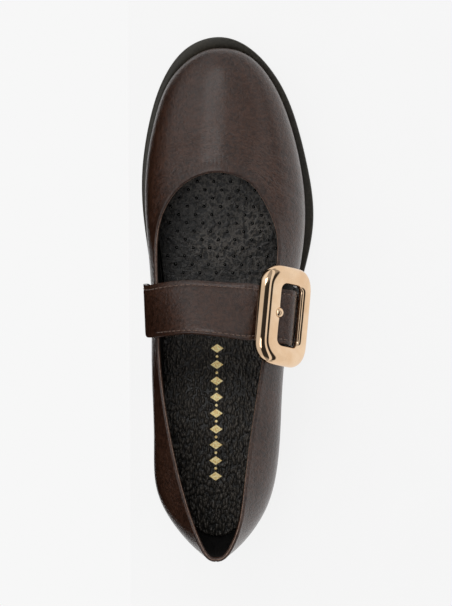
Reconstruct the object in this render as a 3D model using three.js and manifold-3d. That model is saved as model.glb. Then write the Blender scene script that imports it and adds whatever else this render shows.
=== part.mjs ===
// A mary jane shoe for the right foot: round toe, low block heel, one wide strap across the instep
// and a large domed buckle on the outer side.
// Millimetres, +Z up, +Y towards the toe, +X towards the outer side of the foot.
// The origin is the middle of the heel's rest face, on the floor.
import * as THREE from "three";
import Module from "manifold-3d";
import { mergeVertices } from "three/addons/utils/BufferGeometryUtils.js";

const wasm = await Module();
wasm.setup();

// Driving sizes
const SOLE_LENGTH = 262; // back of the sole to its toe
const BALL_WIDTH = 88; // widest part of the sole
const BACK_OF_SOLE = -31; // where the sole starts, behind the heel's middle
const SEAT_RISE = 22; // underside of the outsole above the floor at the heel
const SEAT_SLOPE = 1.6; // how much higher the very back of the seat is
const TOE_SPRING = 8; // lift of the toe above the floor
const SOLE_FOREPART = 7; // outsole thickness under the ball
const SOLE_SEAT = 5; // outsole thickness over the heel
const WELT_RISE = 2.5; // thickness of the welt
const INSOLE_THICK = 3;
const COLLAR_RISE = 54.5; // back of the collar above the outsole
const SWELL_RISE = 20; // height of the counter's widest line above the outsole
const OVERHANG = 3; // how far the counter stands out past its foot
const WALL = 2; // outer leather and lining together
const BINDING_DEPTH = 3; // strip of binding along the topline
const BINDING_PROUD = 0.1; // how far the binding stands out of the wall
const BINDING_ROLL = 0.5; // how far its folded edge is rounded
const GAP = 0.3; // clearance between pieces that meet

const HEEL_TAPER = 2.2; // how much the heel draws in towards the floor
const HEEL_INSET = 1; // heel top inside the outsole's edge

const STRAP_WIDTH = 27.2;
const STRAP_THICK = 2.2;
const STRAP_NECK = 0.95; // the strap's share of its width where it leaves the medial wall
const STRAP_LIFT = 28.5; // rise of the strap's arch above the topline
const STRAP_BOW = 5.2; // how far the strap's middle runs towards the toe
const STRAP_SWEEP = 1.3; // its medial end lies this far towards the toe
const STRAP_SLIP = 0.2; // and its part in the buckle this far towards the heel
const STRAP_LEAN = 22; // degrees, the arch's back edge stands higher than its front
const STRAP_FOOT = 12; // height of its medial end above the outsole
const STRAP_RAKE = 3.5; // how far that end is set back towards the heel
const STRAP_TAIL = 6.5; // height of its lateral end above the outsole

const BUCKLE_LENGTH = 50;
const BUCKLE_WIDTH = 36;
const BUCKLE_CORNER = 11;
const WINDOW_LENGTH = 30.8;
const WINDOW_WIDTH = 15.2;
const WINDOW_OUT = 2.1; // the window lies this far outside the buckle's middle
const WINDOW_AHEAD = 0.6; // and this far towards the toe
const WINDOW_CORNER = 3.4;
const BUCKLE_DOME = 5; // height of the frame's crest above its back
const BUCKLE_BEND = 46; // radius the frame is curved to, across the instep
const BUCKLE_TILT = 48; // degrees, the buckle faces up and outwards
const BUCKLE_TURN = 8; // degrees, its toe end leans outwards
const BUCKLE_LEAN = 6; // degrees, its heel end stands higher
const BUCKLE_OUT = 5.7; // middle of the buckle outside the topline
const BUCKLE_UP = 17.5; // and above it
const BAR_RADIUS = 1;
const BAR_SHIFT = 3.4; // the strap bar lies this far outside the buckle's middle
const PRONG_RADIUS = 0.9;
const PRONG_BALL = 1.5; // the rounded tip
const PRONG_ALONG = 1; // the prong lies this far towards the toe

// Places along the sole, as shares of its length from the back
const SEAT_FRONT = 0.22;
const TREAD_BACK = 0.575;
const TREAD_FRONT = 0.765;
const HEEL_BREAST = 0.222;
const STRAP_PLACE = 0.4715;

// Tables. Each row is a place round the shoe, from the back of the heel to the tip of the toe.
// along is a share of SOLE_LENGTH. medial and lateral are shares of BALL_WIDTH from the middle line.
const rowsOf = (columns, ...lines) =>
  lines.map((line) => Object.fromEntries(columns.map((c, i) => [c, line[i]])));

const SOLE_EDGE = rowsOf(
  ["along", "medial", "lateral"],
  [0.0, 0.0, 0.0],
  [0.0225, -0.18, 0.178],
  [0.0725, -0.292, 0.281],
  [0.141, -0.352, 0.343],
  [0.237, -0.365, 0.364],
  [0.366, -0.366, 0.39],
  [0.504, -0.379, 0.493],
  [0.63, -0.427, 0.571],
  [0.744, -0.437, 0.539],
  [0.855, -0.38, 0.45],
  [0.931, -0.291, 0.334],
  [0.981, -0.161, 0.188],
  [1.0, 0.016, 0.016],
);

// The widest line of the upper. swell is its height, a share of SWELL_RISE, and overhang is a
// share of OVERHANG. Above it the wall turns in: turn bends the rib from a straight run (0) to an
// arc (1), start and end are how far its two ends pull, as shares of the rib's length.
const WALL_LINE = rowsOf(
  ["along", "medial", "lateral", "swell", "overhang", "turn", "start", "end"],
  [-0.002, 0.0, 0.0, 1.0, 0.85, 0.25, 0.38, 0.36],
  [0.0195, -0.142, 0.142, 1.0, 0.5, 0.3, 0.38, 0.36],
  [0.0725, -0.277, 0.268, 1.0, 0.55, 0.4, 0.38, 0.36],
  [0.141, -0.354, 0.341, 1.0, 0.75, 0.5, 0.38, 0.36],
  [0.237, -0.361, 0.372, 0.98, 0.75, 0.55, 0.38, 0.36],
  [0.366, -0.375, 0.396, 0.92, 1.0, 0.6, 0.38, 0.36],
  [0.504, -0.381, 0.466, 0.8, 1.1, 0.6, 0.38, 0.36],
  [0.63, -0.411, 0.52, 0.65, 0.6, 0.6, 0.4, 0.36],
  [0.744, -0.411, 0.497, 0.55, 0.35, 0.42, 0.36, 0.38],
  [0.847, -0.355, 0.418, 0.5, 0.35, 0.18, 0.28, 0.44],
  [0.92, -0.264, 0.314, 0.47, 0.4, 0.06, 0.23, 0.5],
  [0.966, -0.12, 0.182, 0.45, 0.45, 0.01, 0.21, 0.53],
  [0.9795, 0.027, 0.027, 0.45, 0.45, 0.0, 0.21, 0.535],
);

// The topline, where the ribs end. rise is its height above the outsole, a share of COLLAR_RISE.
const TOPLINE = rowsOf(
  ["along", "medial", "lateral", "rise"],
  [0.0085, 0.0, 0.0, 1.0],
  [0.021, -0.066, 0.071, 0.992],
  [0.0725, -0.136, 0.139, 0.95],
  [0.141, -0.202, 0.17, 0.872],
  [0.237, -0.273, 0.205, 0.752],
  [0.366, -0.333, 0.268, 0.702],
  [0.496, -0.352, 0.332, 0.735],
  [0.603, -0.355, 0.364, 0.7],
  [0.668, -0.308, 0.309, 0.688],
  [0.707, -0.231, 0.241, 0.703],
  [0.727, -0.159, 0.177, 0.717],
  [0.7385, -0.082, 0.097, 0.73],
  [0.743, 0.006, 0.006, 0.734],
);

const TIP = SOLE_EDGE.length - 1; // the row at the tip of the toe
const ROUND = 2 * TIP; // rows once round the shoe

// A smooth closed curve through one value for each row round the shoe.
function closedSpline(values) {
  const n = values.length;
  const at = (i) => values[(i + n) % n];
  const bend = values.map(() => 0);
  for (let pass = 0; pass < 60; pass++)
    for (let i = 0; i < n; i++) {
      const pull = 6 * (at(i - 1) - 2 * at(i) + at(i + 1));
      bend[i] = (pull - bend[(i - 1 + n) % n] - bend[(i + 1) % n]) / 4;
    }
  return (t) => {
    const place = ((t % n) + n) % n;
    const i = Math.floor(place);
    const j = (i + 1) % n;
    const b = place - i;
    const a = 1 - b;
    const curve = (a ** 3 - a) * bend[i] + (b ** 3 - b) * bend[j];
    return a * values[i] + b * values[j] + curve / 6;
  };
}

// Turns a table into curves round the shoe: up the medial side to the tip, back down the lateral.
function curvesOf(table) {
  const rows = [...table, ...table.slice(1, -1).reverse()];
  const column = (name) => closedSpline(rows.map((row) => row[name]));
  const out = rows.map((row, i) => (i <= TIP ? row.medial : row.lateral) * BALL_WIDTH);
  const along = rows.map((row) => BACK_OF_SOLE + row.along * SOLE_LENGTH);
  return { column, x: closedSpline(out), y: closedSpline(along) };
}

const soleCurves = curvesOf(SOLE_EDGE);
const wallCurves = curvesOf(WALL_LINE);
const topCurves = curvesOf(TOPLINE);
const swell = wallCurves.column("swell");
const overhang = wallCurves.column("overhang");
const turn = wallCurves.column("turn");
const startPull = wallCurves.column("start");
const endPull = wallCurves.column("end");
const rise = topCurves.column("rise");

const ease = (q) => q * q * (3 - 2 * q);
const clamp01 = (q) => Math.min(1, Math.max(0, q));
const alongOf = (share) => BACK_OF_SOLE + share * SOLE_LENGTH;

// Height of the outsole's underside: flat under the ball, raised at the toe, up the arch to the seat.
function underside(y) {
  const share = (y - BACK_OF_SOLE) / SOLE_LENGTH;
  const spring = clamp01((share - TREAD_FRONT) / (1 - TREAD_FRONT));
  const arch = clamp01((TREAD_BACK - share) / (TREAD_BACK - SEAT_FRONT));
  const seat = clamp01((SEAT_FRONT - share) / SEAT_FRONT);
  return TOE_SPRING * spring ** 2 + SEAT_RISE * ease(arch) + SEAT_SLOPE * seat ** 2;
}

function soleTop(y) {
  const share = (y - BACK_OF_SOLE) / SOLE_LENGTH;
  const arch = ease(clamp01((TREAD_BACK - share) / (TREAD_BACK - SEAT_FRONT)));
  return underside(y) + SOLE_FOREPART + (SOLE_SEAT - SOLE_FOREPART) * arch;
}

// A point of a plan curve and its outward normal.
function planPoint(curves, t, outward = 0) {
  const step = 1e-3;
  const dx = curves.x(t + step) - curves.x(t - step);
  const dy = curves.y(t + step) - curves.y(t - step);
  const length = Math.hypot(dx, dy);
  return new THREE.Vector2(
    curves.x(t) - (dy / length) * outward,
    curves.y(t) + (dx / length) * outward,
  );
}

const bezier = (a, b, c, d, q) =>
  new THREE.Vector3()
    .addScaledVector(a, (1 - q) ** 3)
    .addScaledVector(b, 3 * q * (1 - q) ** 2)
    .addScaledVector(c, 3 * q * q * (1 - q))
    .addScaledVector(d, q ** 3);

// One rib of the upper: its foot on the sole, its widest point, and its end at the topline.
function rib(t) {
  const foot = planPoint(wallCurves, t, -OVERHANG * overhang(t));
  const wide = planPoint(wallCurves, t);
  const footZ = soleTop(foot.y) + GAP;
  const wideZ = footZ + SWELL_RISE * swell(t);
  const top = new THREE.Vector3(topCurves.x(t), topCurves.y(t), 0);
  top.z = soleTop(top.y) + COLLAR_RISE * rise(t);
  const inward = new THREE.Vector2(top.x - wide.x, top.y - wide.y);
  const run = inward.length();
  inward.normalize();
  const chord = Math.hypot(run, top.z - wideZ);
  const chordAngle = Math.atan2(top.z - wideZ, run);
  const endAngle = chordAngle - turn(t) * (Math.PI / 2 - chordAngle);
  const end = new THREE.Vector3(
    inward.x * Math.cos(endAngle),
    inward.y * Math.cos(endAngle),
    Math.sin(endAngle),
  );
  return {
    foot: new THREE.Vector3(foot.x, foot.y, footZ),
    wide: new THREE.Vector3(wide.x, wide.y, wideZ),
    top,
    chord,
    end,
    endSpeed: 3 * endPull(t) * chord,
  };
}

// The upper's outer surface: v runs from 0 at the foot to 1 at the widest line and 2 at the topline.
function skin(t, v) {
  const r = rib(t);
  const up = new THREE.Vector3(0, 0, 1);
  if (v <= 1) {
    const height = r.wide.z - r.foot.z;
    const leave = r.foot.clone().lerp(r.wide, 0.45);
    leave.z = r.foot.z + 0.3 * height;
    const arrive = r.wide.clone().addScaledVector(up, -0.4 * height);
    return bezier(r.foot, leave, arrive, r.wide, v);
  }
  const leave = r.wide.clone().addScaledVector(up, startPull(t) * r.chord);
  const arrive = r.top.clone().addScaledVector(r.end, -endPull(t) * r.chord);
  return bezier(r.wide, leave, arrive, r.top, v - 1);
}

function skinNormal(t, v) {
  const step = 1e-3;
  const low = Math.max(0, v - step);
  const high = Math.min(2, v + step);
  const round = skin(t + step, v).sub(skin(t - step, v));
  const upward = skin(t, high).sub(skin(t, low));
  return upward.cross(round).normalize();
}

// Solids from grids of points. Faces that collapse to a line are dropped.
function meshFrom(points, quads) {
  const corners = [];
  for (const [a, b, c, d] of quads)
    for (const face of [[a, b, c], [a, c, d]]) {
      const [p, q, r] = face.map((i) => points[i]);
      const same = (m, n) => m.distanceTo(n) < 1e-3;
      if (!same(p, q) && !same(q, r) && !same(r, p)) corners.push(p, q, r);
    }
  return new THREE.BufferGeometry().setFromPoints(corners);
}

// Closed sections in a row, each a loop of points. The row closes on itself, or has two end faces
// whose section is a lower edge there and an upper edge back.
function lofted(sections, closed) {
  const size = sections[0].length;
  const points = sections.flat();
  const quads = [];
  const count = closed ? sections.length : sections.length - 1;
  for (let i = 0; i < count; i++)
    for (let j = 0; j < size; j++) {
      const here = i * size;
      const next = ((i + 1) % sections.length) * size;
      const k = (j + 1) % size;
      quads.push([here + j, here + k, next + k, next + j]);
    }
  if (!closed)
    for (let j = 0; j < size / 2 - 1; j++) {
      const last = (sections.length - 1) * size;
      const back = size - 1 - j;
      quads.push([back, back - 1, j + 1, j]);
      quads.push([last + j, last + j + 1, last + back - 1, last + back]);
    }
  return meshFrom(points, quads);
}

// A slab across the shoe: at each station a medial and a lateral edge, both from bottom to top.
function slab(stations) {
  return lofted(
    stations.map(({ medial, lateral }) => [...medial, ...lateral.slice().reverse()]),
    false,
  );
}

function solidOf(geometry) {
  const loose = geometry.index ? geometry.toNonIndexed() : geometry;
  const bare = new THREE.BufferGeometry();
  bare.setAttribute("position", loose.getAttribute("position"));
  const merged = mergeVertices(bare, 1e-4);
  return new wasm.Manifold(
    new wasm.Mesh({
      numProp: 3,
      vertProperties: merged.attributes.position.array,
      triVerts: new Uint32Array(merged.index.array),
    }),
  );
}

function geometryOf(solid) {
  const mesh = solid.getMesh();
  const geometry = new THREE.BufferGeometry();
  geometry.setAttribute("position", new THREE.BufferAttribute(mesh.vertProperties, 3));
  geometry.setIndex(new THREE.BufferAttribute(mesh.triVerts, 1));
  return geometry;
}

const range = (count, from, to) =>
  Array.from({ length: count + 1 }, (_, i) => from + ((to - from) * i) / count);
const spots = (perRow) => range(ROUND * perRow, 0, ROUND).slice(0, -1);

// Upper: one wall round the foot, open above at the topline and below over the insole.
function upper() {
  const lower = [0, 0.3, 0.65, 1];
  const higher = [0.12, 0.26, 0.42, 0.6, 0.8, 1];
  return lofted(
    spots(4).map((t) => {
      const r = rib(t);
      const stop = 1 - (BINDING_DEPTH + 1.7 * GAP) / r.endSpeed;
      const levels = [...lower, ...higher.map((q) => 1 + q * stop)];
      const outer = levels.map((v) => skin(t, v));
      const inner = levels.map((v, i) => outer[i].clone().addScaledVector(skinNormal(t, v), -WALL));
      return [...outer, ...inner.reverse()];
    }),
    true,
  );
}

// Binding: a strip folded over the cut edge, a little proud of the wall on both faces.
function binding() {
  const fold = [
    [-1, 0, BINDING_PROUD],
    [-0.35, 0, BINDING_PROUD],
    [-0.09, 0, -0.2 * BINDING_ROLL],
    [0, 0, -BINDING_ROLL],
    [0, -1, BINDING_ROLL],
    [-0.09, -1, 0.2 * BINDING_ROLL],
    [-0.35, -1, -BINDING_PROUD],
    [-1, -1, -BINDING_PROUD],
  ];
  return lofted(
    spots(4).map((t) => {
      const r = rib(t);
      const normal = skinNormal(t, 2);
      return fold.map(([depth, wall, out]) =>
        r.top
          .clone()
          .addScaledVector(r.end, depth * BINDING_DEPTH)
          .addScaledVector(normal, wall * WALL + out),
      );
    }),
    true,
  );
}

// A slab from a plan curve: each row of the edge is how far it stands in from the curve, and a
// height for that point. It runs from the back of the heel to the row "last".
function edgedSlab(curves, edge, last = TIP) {
  const stations = range(Math.round(last * 4), 0, last);
  const side = (t) =>
    edge.map(({ inset, height }) => {
      const p = planPoint(curves, t, -inset);
      return new THREE.Vector3(p.x, p.y, height(p.y));
    });
  return slab(
    stations.map((t) => {
      const medial = side(t);
      return { medial, lateral: t === 0 || t === TIP ? medial : side(ROUND - t) };
    }),
  );
}

const between = (low, high, share) => (y) => low(y) + (high(y) - low(y)) * share;

function outsole() {
  return edgedSlab(soleCurves, [
    { inset: 1.8, height: underside },
    { inset: 0.6, height: between(underside, soleTop, 0.12) },
    { inset: 0.1, height: between(underside, soleTop, 0.35) },
    { inset: 0, height: between(underside, soleTop, 0.85) },
    { inset: 0.5, height: soleTop },
  ]);
}

// Welt: the strip that shows round the upper, lying on the outsole.
function welt() {
  return lofted(
    spots(4).map((t) => {
      const r = rib(t);
      const base = (y) => soleTop(y) + GAP;
      let v = 0;
      while (skin(t, v).z - r.foot.z < WELT_RISE + GAP) v += 0.02;
      const wall = skin(t, v);
      const flare = Math.hypot(wall.x - r.foot.x, wall.y - r.foot.y);
      const inner = planPoint(wallCurves, t, -OVERHANG * overhang(t) + flare + GAP);
      const edge = (inset, lift) => {
        const p = planPoint(soleCurves, t, -inset);
        return new THREE.Vector3(p.x, p.y, base(p.y) + lift * WELT_RISE);
      };
      const inside = (lift) => new THREE.Vector3(inner.x, inner.y, base(inner.y) + lift * WELT_RISE);
      return [inside(0), edge(0.4, 0), edge(0, 0.3), edge(0.1, 0.75), edge(0.8, 1), inside(1)];
    }),
    true,
  );
}

function insole() {
  const edge = WALL + GAP + 0.2;
  const footCurves = {
    x: (t) => rib(t).foot.x,
    y: (t) => rib(t).foot.y,
  };
  const lift = (height) => (y) => soleTop(y) + height;
  return edgedSlab(footCurves, [
    { inset: edge, height: lift(GAP) },
    { inset: edge, height: lift(GAP + 0.7 * INSOLE_THICK) },
    { inset: edge + 0.8, height: lift(GAP + INSOLE_THICK) },
  ]);
}

// Where a rising function passes a value.
function solve(value, low, high, wanted) {
  for (let i = 0; i < 40; i++) {
    const middle = (low + high) / 2;
    if (value(middle) < wanted) low = middle;
    else high = middle;
  }
  return (low + high) / 2;
}

function heel() {
  const last = solve((t) => soleCurves.y(t), 0, TIP / 2, alongOf(HEEL_BREAST));
  const roof = (y) => underside(y) - GAP;
  const floor = () => 0;
  return edgedSlab(
    soleCurves,
    [
      { inset: HEEL_INSET + HEEL_TAPER + 0.6, height: floor },
      { inset: HEEL_INSET + HEEL_TAPER, height: between(floor, roof, 0.04) },
      { inset: HEEL_INSET + 0.45 * HEEL_TAPER, height: between(floor, roof, 0.5) },
      { inset: HEEL_INSET, height: roof },
    ],
    last,
  );
}

// The buckle's own frame: across its width, along its length, and out of its face.
const strapY = alongOf(STRAP_PLACE);
function topSpot(y, sign) {
  const t = solve((q) => topCurves.y(q), 0, TIP, y);
  return rib(sign < 0 ? t : ROUND - t).top;
}
const turned = (x, y, z, degrees) =>
  new THREE.Quaternion().setFromAxisAngle(
    new THREE.Vector3(x, y, z),
    THREE.MathUtils.degToRad(degrees),
  );
const buckleTurn = turned(1, 0, 0, -BUCKLE_LEAN)
  .multiply(turned(0, 1, 0, BUCKLE_TILT))
  .multiply(turned(0, 0, 1, -BUCKLE_TURN));
const buckleMiddle = topSpot(strapY, 1)
  .clone()
  .add(new THREE.Vector3(BUCKLE_OUT, 0, BUCKLE_UP));
function inBuckle(across, along, out) {
  const angle = across / BUCKLE_BEND;
  const reach = BUCKLE_BEND + out;
  const bent = new THREE.Vector3(reach * Math.sin(angle), along, reach * Math.cos(angle));
  bent.z -= BUCKLE_BEND;
  return bent.applyQuaternion(buckleTurn).add(buckleMiddle);
}

// A rectangle with round corners, as a loop of points in step with any other made here.
function roundedLoop(width, length, corner) {
  const arcs = [0, 1, 2, 3].map((c) => {
    const sx = c === 0 || c === 3 ? 1 : -1;
    const sy = c < 2 ? 1 : -1;
    return range(6, c * 90, (c + 1) * 90).map((degrees) => {
      const angle = THREE.MathUtils.degToRad(degrees);
      return new THREE.Vector2(
        sx * (width / 2 - corner) + corner * Math.cos(angle),
        sy * (length / 2 - corner) + corner * Math.sin(angle),
      );
    });
  });
  return arcs.flatMap((arc, c) => {
    const next = arcs[(c + 1) % 4][0];
    const run = [1 / 3, 2 / 3].map((q) => arc[6].clone().lerp(next, q));
    return [...arc, ...run];
  });
}

// Buckle frame: a domed ring. Each row is a share of the way in and a share of the dome's height.
const DOME = [
  [0, 0],
  [0, 0.25],
  [0.04, 0.52],
  [0.14, 0.8],
  [0.28, 0.96],
  [0.44, 1],
  [0.64, 0.92],
  [0.84, 0.75],
  [0.96, 0.6],
  [1, 0.46],
  [1, 0],
];

function tube(route, radius, sides) {
  const section = new THREE.Shape(
    range(sides, 0, 2 * Math.PI)
      .slice(1)
      .map((angle) => new THREE.Vector2(Math.cos(angle) * radius, Math.sin(angle) * radius)),
  );
  const steps = route.length - 1;
  const extrudePath = new THREE.CatmullRomCurve3(route);
  return new THREE.ExtrudeGeometry(section, { steps, extrudePath });
}

const BAR_OUT = -(GAP + BAR_RADIUS); // the bar lies just behind the frame
const WINDOW_EDGE = WINDOW_OUT - WINDOW_WIDTH / 2;

// Prong: hooked under the bar, forward under the strap, and up through it with its tip in the
// notch of the frame. Rows are across the buckle and out of its back.
const PRONG_ROUTE = [
  [BAR_SHIFT + BAR_RADIUS + PRONG_RADIUS + 2 * GAP, BAR_OUT + 0.2],
  [BAR_SHIFT + 1.7, BAR_OUT - 1.7],
  [BAR_SHIFT, BAR_OUT - BAR_RADIUS - PRONG_RADIUS - 2 * GAP],
  [BAR_SHIFT - 3.2 * BAR_RADIUS, BAR_OUT - 2.6],
  [WINDOW_EDGE + 2.8 * BAR_RADIUS, -4.1],
  [WINDOW_EDGE + 0.4, -3.3],
  [WINDOW_EDGE - 0.7, -1.4],
  [WINDOW_EDGE - 1, 0.8],
  [WINDOW_EDGE - 1.2, 2.6],
];
const prongCurve = new THREE.CatmullRomCurve3(
  PRONG_ROUTE.map(([across, out]) => inBuckle(across, PRONG_ALONG, out)),
);
const prongPart = (from, steps) => range(steps, from, 1).map((q) => prongCurve.getPoint(q));

function ball(middle, radius) {
  const geometry = new THREE.IcosahedronGeometry(radius, 2);
  return geometry.translate(middle.x, middle.y, middle.z);
}

function prongShape(from, steps, grow) {
  const wire = solidOf(tube(prongPart(from, steps), PRONG_RADIUS + grow, 8));
  return wire.add(solidOf(ball(prongCurve.getPoint(1), PRONG_BALL + grow)));
}

function buckleFrame() {
  const outer = roundedLoop(BUCKLE_WIDTH, BUCKLE_LENGTH, BUCKLE_CORNER);
  const inner = roundedLoop(WINDOW_WIDTH, WINDOW_LENGTH, WINDOW_CORNER);
  inner.forEach((p) => p.add(new THREE.Vector2(WINDOW_OUT, WINDOW_AHEAD)));
  const ring = lofted(
    outer.map((p, i) =>
      DOME.map(([way, height]) => {
        const spot = p.clone().lerp(inner[i], way);
        return inBuckle(spot.x, spot.y, height * BUCKLE_DOME);
      }).reverse(),
    ),
    true,
  );
  return geometryOf(solidOf(ring).subtract(prongShape(0.6, 12, GAP)));
}

// Strap bar: behind the frame, from one end of the buckle to the other, under the strap.
function buckleBar() {
  const half = (WINDOW_LENGTH + BUCKLE_LENGTH) / 4;
  const ends = [-half, 0, half].map((along) => inBuckle(BAR_SHIFT, along, BAR_OUT));
  return tube(ends, BAR_RADIUS, 12);
}

// Strap: sewn to the outside of both walls, arched over the instep, and woven through the buckle.
// Arch rows: a share of the way from the medial to the lateral topline, of STRAP_LIFT, of
// STRAP_LEAN, and of STRAP_BOW.
const STRAP_ARCH = rowsOf(
  ["across", "lift", "lean", "bow"],
  [-0.075, -0.05, 0, 0],
  [-0.058, 0.21, 0, 0],
  [-0.01, 0.435, 0.1, 0.15],
  [0.065, 0.646, 0.3, 0.42],
  [0.166, 0.835, 0.6, 0.72],
  [0.285, 0.954, 0.88, 0.94],
  [0.433, 1.0, 1, 0.92],
  [0.594, 1.01, 0.92, 0.81],
  [0.73, 0.975, 0.58, 0.68],
  [0.815, 0.93, 0.32, 0.58],
);
// Weave rows: across the buckle as a share of its width, and out of its back in millimetres.
const UNDER_FRAME = -(STRAP_THICK / 2 + 2 * GAP);
const OVER_BAR = STRAP_THICK / 2 + GAP;
const STRAP_WEAVE = rowsOf(
  ["across", "out"],
  [-0.44, UNDER_FRAME - 0.5],
  [-0.33, UNDER_FRAME],
  [-0.15, UNDER_FRAME],
  [-0.01, 0.3 * OVER_BAR],
  [0.094, OVER_BAR],
  [0.17, 0.5 * OVER_BAR],
  [0.275, UNDER_FRAME],
  [0.38, UNDER_FRAME],
  [0.48, UNDER_FRAME],
  [0.6, 0.7 * UNDER_FRAME],
  [0.73, 0.5 * UNDER_FRAME],
  [0.86, UNDER_FRAME],
);
// Across the strap: place from its middle as a share of half its width, and thickness share.
const STRAP_ACROSS = [
  [-1, 0.5],
  [-0.92, 1],
  [-0.5, 1],
  [0, 1],
  [0.5, 1],
  [0.92, 1],
  [1, 0.5],
];

// A point outside the wall at a height above the outsole, on the side that sign gives.
function besideWall(y, height, sign, slack = 0) {
  const place = (t) => (sign < 0 ? t : ROUND - t);
  const z = soleTop(y) + height;
  const level = (t) => solve((v) => skin(place(t), v).z, 0, 2, z);
  const t = solve((q) => skin(place(q), level(q)).y, 1, TIP - 2, y);
  const v = level(t);
  const clearance = 2.5 * GAP + STRAP_THICK / 2 + slack;
  return skin(place(t), v).addScaledVector(skinNormal(place(t), v), clearance);
}

function strapLine(share) {
  const aside = (share * STRAP_WIDTH) / 2;
  const neck = strapY + STRAP_SWEEP + aside * STRAP_NECK;
  const medialTop = topSpot(neck, -1);
  const lateralTop = topSpot(strapY + aside, 1);
  const arch = STRAP_ARCH.map(({ across, lift, lean, bow }) => {
    const q = clamp01(across);
    const p = medialTop.clone().lerp(lateralTop, across);
    const angle = THREE.MathUtils.degToRad(lean * STRAP_LEAN);
    p.y = neck + (strapY - STRAP_SLIP + aside - neck) * q - aside * (1 - Math.cos(angle));
    p.y += bow * STRAP_BOW;
    p.z += lift * STRAP_LIFT - aside * Math.sin(angle);
    return p;
  });
  const along = aside - STRAP_SLIP;
  const weave = STRAP_WEAVE.map(({ across, out }) => inBuckle(across * BUCKLE_WIDTH, along, out));
  const low = weave[weave.length - 1].y;
  return [
    ...[0, 8, 17].map((up) =>
      besideWall(neck - STRAP_RAKE * (1 - up / 25), STRAP_FOOT + up, -1),
    ),
    ...arch,
    ...weave,
    ...[13, 6, 0].map((up) => besideWall(low, STRAP_TAIL + up, 1, 0.17 * up)),
  ];
}

function strap() {
  const lines = STRAP_ACROSS.map(([share]) => new THREE.CatmullRomCurve3(strapLine(share)));
  const stations = range(64, 0, 1);
  const grid = stations.map((q) => lines.map((line) => line.getPoint(q)));
  const sections = grid.map((row, i) => {
    const before = grid[Math.max(0, i - 1)];
    const after = grid[Math.min(grid.length - 1, i + 1)];
    const faces = row.map((p, j) => {
      const lengthwise = after[j].clone().sub(before[j]);
      const across = row[Math.min(row.length - 1, j + 1)].clone().sub(row[Math.max(0, j - 1)]);
      const normal = lengthwise.cross(across).normalize();
      const half = (STRAP_ACROSS[j][1] * STRAP_THICK) / 2;
      return [p.clone().addScaledVector(normal, half), p.clone().addScaledVector(normal, -half)];
    });
    return [...faces.map(([, low]) => low), ...faces.map(([high]) => high).reverse()];
  });
  return geometryOf(solidOf(lofted(sections, false)).subtract(prongShape(0.4, 12, GAP)));
}

const LEATHER = { color: 0x3a2a24, roughness: 0.42, metalness: 0 };
const GOLD = { color: 0xdcb483, roughness: 0.14, metalness: 1 };
const RUBBER = { color: 0x24241f, roughness: 0.55, metalness: 0 };
const LINING = { color: 0x141414, roughness: 0.6, metalness: 0 };

const shoe = new THREE.Group();
function add(name, geometry, finish) {
  geometry.computeVertexNormals();
  const mesh = new THREE.Mesh(geometry, new THREE.MeshStandardMaterial(finish));
  mesh.name = name;
  shoe.add(mesh);
}

add("outsole", outsole(), RUBBER);
add("heel", heel(), RUBBER);
add("welt", welt(), RUBBER);
add("insole", insole(), LINING);
add("upper", upper(), LEATHER);
add("topline_binding", binding(), LEATHER);
add("strap", strap(), LEATHER);
add("buckle_frame", buckleFrame(), GOLD);
add("buckle_bar", buckleBar(), GOLD);
add("buckle_prong", geometryOf(prongShape(0, 20, 0)), GOLD);

export default shoe;
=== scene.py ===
# %% [markdown]
# # A mary jane shoe for the right foot
#
# The shoe is brown leather with a round toe, an open instep, one wide strap and a large domed
# buckle. Its solid parts were made in a CAD program and are loaded here as a fixed frame. This
# script dresses them: each visible piece is copied from its solid or modelled new, rounded,
# creased and stitched, and given a finish made from nodes.

import math

import bpy
import numpy as np
from mathutils import Matrix, Vector
from mathutils.bvhtree import BVHTree
from mathutils.kdtree import KDTree


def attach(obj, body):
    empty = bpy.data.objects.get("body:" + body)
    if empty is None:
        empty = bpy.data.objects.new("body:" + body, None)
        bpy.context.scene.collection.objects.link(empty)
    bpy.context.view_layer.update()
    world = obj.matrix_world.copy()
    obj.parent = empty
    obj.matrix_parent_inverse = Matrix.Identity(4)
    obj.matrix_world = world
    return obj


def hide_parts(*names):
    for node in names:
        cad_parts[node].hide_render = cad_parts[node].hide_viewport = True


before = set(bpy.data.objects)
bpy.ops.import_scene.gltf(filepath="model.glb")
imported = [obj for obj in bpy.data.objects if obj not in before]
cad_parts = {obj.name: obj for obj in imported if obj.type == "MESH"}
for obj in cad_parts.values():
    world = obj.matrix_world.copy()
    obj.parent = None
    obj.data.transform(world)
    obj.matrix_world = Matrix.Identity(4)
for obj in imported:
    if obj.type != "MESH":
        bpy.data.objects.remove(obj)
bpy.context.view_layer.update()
MM = 0.001
print("nodes:", sorted(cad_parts))

# %% [markdown]
# A camera stands in for the photographer: it looks down on the shoe from a little over a metre,
# leaning six degrees from the toe side, so the toe points up in the picture. A long lens keeps
# the heel and the toe at nearly the same scale, as in a catalogue photograph.

# %% Camera
TARGET = Vector((5.0, 96.25, 40.0)) * MM
DISTANCE = 1.2
LEAN = math.radians(6.0)
FRAME_HEIGHT_PX = 606
FOCAL_PX = 2352
SENSOR_HEIGHT = 24.0

bpy.ops.object.camera_add(
    location=TARGET + DISTANCE * Vector((0, math.sin(LEAN), math.cos(LEAN))),
    rotation=(-LEAN, 0, 0),
)
camera = bpy.context.object
camera.name = "photo_camera"
camera.data.sensor_fit = "VERTICAL"
camera.data.sensor_height = SENSOR_HEIGHT
camera.data.lens = FOCAL_PX * SENSOR_HEIGHT / FRAME_HEIGHT_PX
camera.data.clip_start = 0.01
camera.data.clip_end = 20.0
bpy.context.scene.camera = camera
print("lens", round(camera.data.lens, 1), "mm")

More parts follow.
